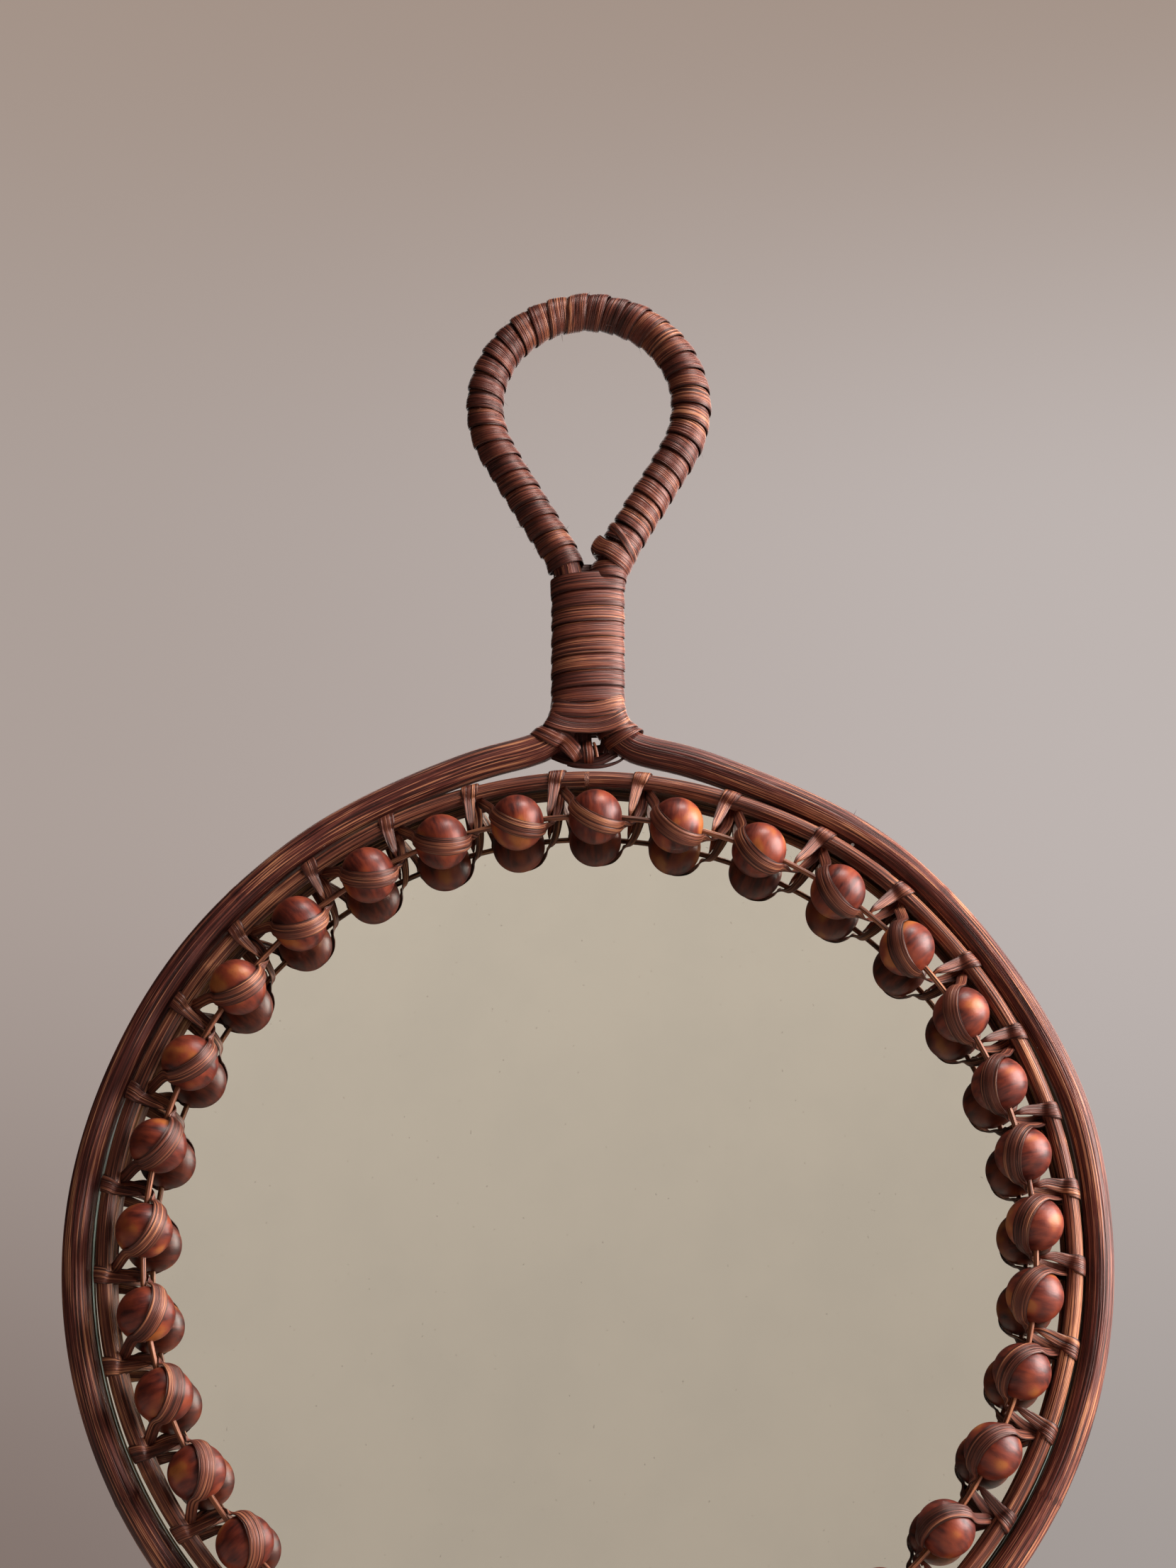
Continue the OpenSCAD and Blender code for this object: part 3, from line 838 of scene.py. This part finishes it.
def tie_left():
    """One broad turn over the foot of the left leg, drawn down into the knot."""
    middle = along_pole(base_c[1] - base_r * sin_d(52), -1) - 1.2
    front = HOOP_Z + POLE_D / 2
    turn = over_pole(middle, 1.9, TIE_R, (250, 215, 180, 150, 120, 92, 64, 36, 8, -20, -44), 5.6)
    into_knot = [
        (-3.9, 138.9, front + 0.1, 0.3, -0.2, 0.9, 4.8, 0.06),
        (-2.7, 137.4, front - 1.4, 0.6, -0.5, 0.6, 3.8, 0.06),
        (-2.8, 137.2, HOOP_Z - 0.5, 0.5, -0.8, -0.2, 3.4, 0.06),
    ]
    shape = Shape()
    lay_strip(shape, turn + into_knot, crown=0.2, seed=31, tone=0.6)
    hang_binding(shape, "tie_left", "neck_tie_left")


def tie_right():
    """Two turns round the foot of the right leg, just below the neck's binding."""
    turns, pitch = 2.1, 3.1
    start = along_pole(base_c[1] - base_r * sin_d(51), 1) - turns * pitch / 2
    shape = Shape()
    wind_strip(
        shape, pole_path, start, start + turns * pitch, pitch, 3.3, TIE_R - 0.4, BINDING_T, 36,
        lambda s: np.full_like(s, 1.0), lambda s: np.full_like(s, 0.8),
    )
    hang_binding(shape, "tie_right", "neck_tie_right")


def build_knot():
    """The ends of the ties, drawn together between the legs, twisted and tucked away."""
    z, front = HOOP_Z, HOOP_Z + POLE_D / 2
    shape = Shape()

    def strand(seed, tone, *controls):
        lay_strip(shape, [(*c[:3], 0, 0.2, 1, c[3], 0.05) for c in controls], seed=seed, tone=tone)

    # Strands 71 to 75 lie behind the others, darkened to tone -6 and -5 as painted shade: they fill the
    # shadowed hollow between the legs.
    strand(71, -6, (-10.5, 142.0, z, 4.6), (-4.5, 139.9, z - 0.4, 4.8), (0, 139.5, z - 0.6, 4.8),
           (4.5, 140.0, z - 0.4, 4.8), (10.5, 142.0, z, 4.6))
    strand(72, -6, (-9.0, 146.6, z, 3.6), (0, 146.2, z - 0.4, 3.6), (9.0, 146.6, z, 3.6))
    strand(73, -6, (-2.0, 147.0, z + 0.6, 5.4), (-1.8, 143.5, z + 0.4, 5.6), (-1.4, 139.5, z + 0.4, 5.0))
    strand(74, -6, (6.2, 146.5, z + 0.4, 4.6), (6.0, 143.0, z + 0.8, 4.6), (5.0, 139.0, z + 0.4, 4.8))
    strand(75, -5, (-9.6, 138.6, z + 0.2, 2.6), (-5.6, 136.9, z + 1.4, 3.0), (-0.6, 136.2, z + 1.6, 3.0),
           (3.6, 137.0, z + 1.2, 3.0), (7.6, 139.4, z + 0.2, 2.8))
    strand(76, 0.2, (-0.2, 142.2, front - 2.6, 2.6), (-0.2, 140.4, front - 0.4, 2.8),
           (0.1, 138.3, front + 0.2, 3.0), (0.2, 136.6, front - 0.6, 2.9), (0.2, 135.8, front - 2.6, 2.6))
    strand(77, 0.8, (1.6, 141.6, front - 1.6, 0.8), (2.1, 139.8, front - 0.4, 0.9),
           (2.6, 137.4, front - 1.2, 0.9))
    strand(78, -2, (-5.6, 135.9, z + 0.4, 1.0), (-3.2, 135.1, z + 1.4, 1.2), (1.2, 134.8, z + 1.8, 1.3),
           (5.0, 135.2, z + 1.6, 1.1), (8.4, 136.6, z + 0.8, 0.8), (10.4, 138.4, z, 0.7))
    hang_binding(shape, "neck_knot_strips", "neck_knot")


# ---------------------------------------------------------------- the ring of beads

def ring_place(a, r, z):
    """A place on the trim, clockwise from the top in degrees."""
    zero = np.zeros_like(a * r * z)
    return np.stack([TRIM[0] + r * sin_d(a) + zero, TRIM[1] + r * cos_d(a) + zero, z + zero], -1)


def hoop_bow(a):
    """How far the inner hoop bows out at an angle: under the neck, and where the pole strays outward."""
    return 1.5 * np.clip(cos_d(a), 0, 1) ** 10 + 1.1 * np.exp(-((a - 33) / 13) ** 2)


def build_ring(name, node, r, z, d, material, columns, flute, seed, bow=None):
    """A closed ring of cane in the plane of the mirror."""
    theta = round_section(columns)
    rows = int(2 * math.pi * r / 1.4)
    a = np.arange(rows)[:, None] * 360 / rows
    s = np.radians(a) * r
    blend = 0.5 - 0.5 * np.cos(np.radians(a))
    change = blend * fluted(theta[None], s, seed, flute)
    change = change + (1 - blend) * fluted(theta[None], s - 2 * math.pi * r, seed, flute)
    knots = np.cumsum(np.random.default_rng(seed).uniform(24, 41, 9))
    rings = sum(np.exp(-((a - k) * math.pi / 180 * r / 1.5) ** 2) for k in knots)
    section = d / 2 - 1.2 * flute + change + 0.05 * rings
    out = bow(a) if bow else 0.0
    points = ring_place(a, r + out + section * np.cos(theta), z + section * np.sin(theta))
    straight = np.stack(np.broadcast_arrays(s, section * np.cos(theta), section * np.sin(theta)), -1)
    shape = Shape()
    shape.sweep(points, straight, 2.2 * rings, closed=True)
    hang(shape.make(name, material, sharp=None), "mirror", node)


def bead_centre(number):
    lo, hi = flat_box(f"bead_{number:02d}")
    return (lo + hi) / 2


centres = np.array([bead_centre(i + 1) for i in range(BEAD_COUNT)])
bead_angles = np.degrees(np.unwrap(np.arctan2(centres[:, 0] - TRIM[0], centres[:, 1] - TRIM[1])))
gap_angles = (bead_angles + np.r_[bead_angles[1:], bead_angles[0] + 360]) / 2


def local_axes(a):
    """Clockwise, outward and frontward directions at an angle of the ring."""
    return np.array([[cos_d(a), -sin_d(a), 0], [sin_d(a), cos_d(a), 0], [0, 0, 1]])


def build_bead(i, material):
    """A turned bead, round about its hole, with its own small difference in size."""
    vary = np.random.default_rng(400 + i)
    swell, length = vary.uniform(0.972, 0.995), vary.uniform(0.972, 0.995)
    ball = BEAD_LEN / 2
    widen = BEAD_D / 2 - ball
    end = math.degrees(math.acos((BORE_R - widen) / ball))
    a = np.radians(np.linspace(-end, end, 41))
    x = np.r_[ball * np.sin(a) * length, np.linspace(0.97, -0.97, 7) * ball * math.sin(math.radians(end))]
    r = np.r_[(widen + ball * np.cos(a)) * swell, np.full(7, BORE_R)]
    r = np.maximum(r, BORE_R)
    theta = round_section(64)
    axes = local_axes(bead_angles[i])
    across, ahead = r * np.cos(theta)[:, None], r * np.sin(theta)[:, None]
    local = np.stack(np.broadcast_arrays(x[None], across, ahead), -1)
    points = centres[i] + local @ axes
    shape = Shape()
    shape.sweep(points, local, vary.uniform(0, 1), closed=True)
    name = f"bead_{i + 1:02d}"
    hang(shape.make(name + "_turned", material, sharp=60), name, name)


# A strap lies in a plane, in its bead's own axes: the plane's direction, how far it is from the bead's
# centre, and the place that angles along the strap count from
STRAP_NORMAL = np.array([0.387, 0.698, 0.603])
STRAP_OFFSET = 1.43
STRAP_ZERO = np.array([0, -4, 7])
STRAP_R = BEAD_D / 2 + 0.38

# Angles along a strap and its width there
STRAP_WIDTHS = (
    (-96, 3.2), (-72, 3.9), (-45, 4.5), (-15, 5.0), (15, 5.0), (45, 4.5), (68, 3.8), (82, 3.0),
)

# Angles round the inner hoop, from 0 at its outer side to 90 at its front, with how far clockwise the strip
# is there, and its width
BAND_TURN = ((-35, 1.1, 4.8), (15, 0.9, 5.1), (55, 0.5, 5.0), (95, 0.0, 4.5), (135, -0.5, 3.7))

# Where a bead's side is nearer than this to the middle of the gap after it, the end of its strip moves
# away from the bead by the difference
GAP_ROOM = 3.0


def strap_point(angle, tilt):
    """A place and outward direction where a strap crosses its bead, in the bead's own axes."""
    normal = unit(STRAP_NORMAL + tilt)
    middle = normal * STRAP_OFFSET
    zero = STRAP_ZERO - middle
    ahead = unit(zero - normal * zero.dot(normal))
    beside = np.cross(normal, ahead)
    p = middle + math.sqrt(STRAP_R ** 2 - STRAP_OFFSET ** 2) * (cos_d(angle) * ahead + sin_d(angle) * beside)
    return p, unit(p)


def lash(shape, i):
    """One length of strip: from behind the inner hoop, over bead i, behind the threading cane, and round
    the hoop in the gap after it."""
    vary = np.random.default_rng(800 + i)
    bead_axes = local_axes(bead_angles[i])
    gap_before = gap_angles[i - 1] - (360 if i == 0 else 0)
    half_before = math.radians(bead_angles[i] - gap_before) * BEAD_RING_R
    room_after = math.radians(gap_angles[i] - bead_angles[i]) * BEAD_RING_R - BEAD_LEN / 2
    squeeze = max(GAP_ROOM - room_after, 0)
    gap_axes = local_axes(gap_angles[i])
    gap_centre = ring_place(np.array(gap_angles[i]), BEAD_RING_R, BEAD_Z)
    hoop_y, hoop_z = INNER_R + hoop_bow(gap_angles[i]) - BEAD_RING_R, INNER_Z - BEAD_Z
    wrap_r = INNER_CANE_D / 2 + STRIP_T * 0.8
    behind_z = hoop_z - INNER_CANE_D / 2 - 0.3
    lean = vary.uniform(-0.7, 0.7)
    full = vary.uniform(0.92, 1.06)
    controls = []

    def put(axes, centre, place, out, width, cup=0.0):
        controls.append((*(centre + np.array(place) @ axes), *(np.array(out) @ axes), width * full, cup))

    put(bead_axes, centres[i], (-half_before + 0.2, hoop_y - 0.5, behind_z), (-0.5, 0.1, -0.6), 3.4)
    put(bead_axes, centres[i], (-half_before + 1.6, hoop_y - 3.0, behind_z + 2.0), (-0.7, 0.4, -0.3), 3.2)
    tilt = vary.uniform(-0.05, 0.05, 3)
    for angle, width in STRAP_WIDTHS:
        p, out = strap_point(angle, tilt)
        put(bead_axes, centres[i], p, out, width, 0.09)
    put(gap_axes, gap_centre, (squeeze - 1.4, -1.2, -1.5), (0.5, -0.6, -0.5), 2.4)
    put(gap_axes, gap_centre, (0.1, 1.6, -3.6), (0.3, -0.4, -0.8), 2.4)
    put(gap_axes, gap_centre, (1.0, 6.0, -6.6), (0.1, -0.3, -1), 3.0)
    put(gap_axes, gap_centre, (1.1 + lean, hoop_y - 0.2, behind_z), (0, 0, -1), 3.6)
    for angle, across, width in BAND_TURN:
        out = (0, cos_d(angle), sin_d(angle))
        place = (across + lean, hoop_y + wrap_r * out[1], hoop_z + wrap_r * out[2])
        put(gap_axes, gap_centre, place, out, width, 0.02)
    put(gap_axes, gap_centre, (-1.3 + lean / 2, 4.8, -1.5), (0.25, -0.15, 1), 2.6)
    put(gap_axes, gap_centre, (squeeze - 1.8, 2.2, -0.6), (0.7, 0.1, 0.7), 1.8)
    put(gap_axes, gap_centre, (squeeze - 1.9, 0.9, -1.6), (0.9, -0.3, 0.2), 1.5)
    put(gap_axes, gap_centre, (squeeze - 1.7, 1.0, -3.6), (0.9, -0.5, 0), 1.3)
    lay_strip(shape, controls, crown=0.08, step=0.6, seed=i, tone=vary.uniform(-1, 1))


def build_lashing():
    shape = Shape()
    for i in range(BEAD_COUNT):
        lash(shape, i)
    hang(shape.make("lashing", LASH_STRIP), "mirror", "bead_lashing")


# ---------------------------------------------------------------- building it

build_pole()
bind_loop()
bind_neck()
tie_left()
tie_right()
build_knot()
build_ring(
    "inner_hoop_cane", "inner_hoop", INNER_R, INNER_Z, INNER_CANE_D, HOOP_CANE,
    columns=36, flute=0.05, seed=41, bow=hoop_bow,
)
build_ring(
    "threading_cane", "bead_cane", BEAD_RING_R, BEAD_Z, THREAD_D, THREAD_CANE,
    columns=16, flute=0.02, seed=43,
)
lacquer = bead_lacquer()
for number in range(BEAD_COUNT):
    build_bead(number, lacquer)
build_lashing()
lay_silver()

for node, material in (
    ("mirror_glass", glass()),
    ("backing_board", board()),
    ("backing_brads", steel()),
    ("scarf_pins", steel()),
):
    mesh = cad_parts[node].data
    mesh.materials.clear()
    mesh.materials.append(material)


# ---------------------------------------------------------------- studio

# How brightly the room lights matt and glossy surfaces. The camera and the glass see it at full strength.
AMBIENT = 0.12
GLOSSY_AMBIENT = 0.06

# Name, place, width and height in metres, watts, colour
LIGHTS = (
    ("key", (1.05, -0.24, 0.38), (1.0, 0.85), 18.5, (1.0, 0.95, 0.92)),
    ("top", (0.35, -0.35, 1.1), (0.5, 0.3), 4, (1.0, 0.96, 0.93)),
    ("back", (0.2, 1.1, 0.6), (1.5, 1.5), 6, (1.0, 0.96, 0.92)),
)
LIGHT_SPREAD = math.radians(120)

# The camera looks up from a little below the mirror
CAMERA_PLACE = (0, -0.9257, -0.1594)
CAMERA_TILT = 17.5
CAMERA_LENS = 79.75

low, high = cad_box
middle_of_mirror = (low + high) / 2
cad_size = high - low


def world_light():
    """A pale wall behind the mirror, and a plain beige room in front of it, which the glass reflects."""
    world = bpy.data.worlds.new("room")
    world.use_nodes = True
    bpy.context.scene.world = world
    m = Nodes(world.node_tree)
    x, y, z = m.node("SeparateXYZ", Vector=m.node("TexCoord").outputs["Generated"]).outputs
    # Painted shade: the wall is darker towards the left, and darker still towards the lower left.
    wall = m.mix(m.spread(x, -0.2, 0.2), (0.41, 0.345, 0.315), (0.52, 0.465, 0.445))
    low_left_shade = m.mix(m.spread(x, -0.2, 0.2), (0.22, 0.17, 0.15), (0.37, 0.33, 0.31))
    wall = m.mix(m.spread(z, 0.06, 0.3), low_left_shade, wall)
    wall = m.mix(m.spread(z, 0.36, 0.52, 0.0, 1.0), wall, (0.37, 0.29, 0.245))
    room = m.mix(m.spread(z, 0.05, 0.45), (0.545, 0.455, 0.395), (0.80, 0.68, 0.60))
    colour = m.mix(m.spread(y, -0.3, 0.3), room, wall)
    paths = m.node("LightPath").outputs
    through_glass = m.math("GREATER_THAN", paths["Transparent Depth"], 0.5)
    once = m.math("LESS_THAN", paths["Glossy Depth"], 1.5)
    in_mirror = m.math("MULTIPLY", paths["Is Glossy Ray"], m.math("MULTIPLY", through_glass, once))
    dim = m.spread(paths["Is Glossy Ray"], 0.0, 1.0, AMBIENT, GLOSSY_AMBIENT)
    strength = m.spread(m.math("MAXIMUM", paths["Is Camera Ray"], in_mirror), 0.0, 1.0, dim, 1.0)
    background = m.node("Background", Color=colour, Strength=strength)
    m.node("OutputWorld", Surface=background.outputs[0])


def area_light(name, place, size, power, colour):
    """A soft light that faces the middle of the mirror."""
    light = bpy.data.lights.new(name, "AREA")
    light.shape = "RECTANGLE"
    light.size, light.size_y = size
    light.energy = power
    light.spread = LIGHT_SPREAD
    light.color = colour
    obj = add_object(name, light)
    obj.location = place
    aim = middle_of_mirror - obj.location
    obj.rotation_euler = aim.to_track_quat("-Z", "Y").to_euler()


def lay_floor():
    """A plain floor a little below the mirror, fading into the room."""
    m = Material("floor")
    grain = m.noise(m.object_place(), 8.0, 3, 0.5)
    colour = m.mix(grain, (0.31, 0.285, 0.26), (0.34, 0.315, 0.29))
    matt = m.node("BsdfPrincipled", Base_Color=colour, Roughness=0.85)
    away = m.node("VectorMath", {"operation": "LENGTH"})
    m.feed(away.inputs[0], m.object_place())
    fade = m.spread(away.outputs["Value"], 0.9 * cad_size.z, 2.6 * cad_size.z)
    clear = m.node("BsdfTransparent")
    material = m.finish(m.mix_shaders(fade, matt.outputs[0], clear.outputs[0]))
    drop = 0.1 * cad_size.z
    bpy.ops.mesh.primitive_plane_add(size=6 * cad_size.z, location=(0, 0, cad_box[0].z - drop))
    floor = bpy.context.object
    floor.name = "floor"
    floor.data.materials.append(material)


world_light()
for light_settings in LIGHTS:
    area_light(*light_settings)
lay_floor()

camera = bpy.data.cameras.new("camera")
camera.lens = CAMERA_LENS
camera.sensor_width = 36
camera.clip_start = 0.01
eye = add_object("camera", camera)
eye.location = CAMERA_PLACE
eye.rotation_euler = (math.radians(90 + CAMERA_TILT), 0, 0)
bpy.context.scene.camera = eye
bpy.context.scene.view_settings.view_transform = "Standard"
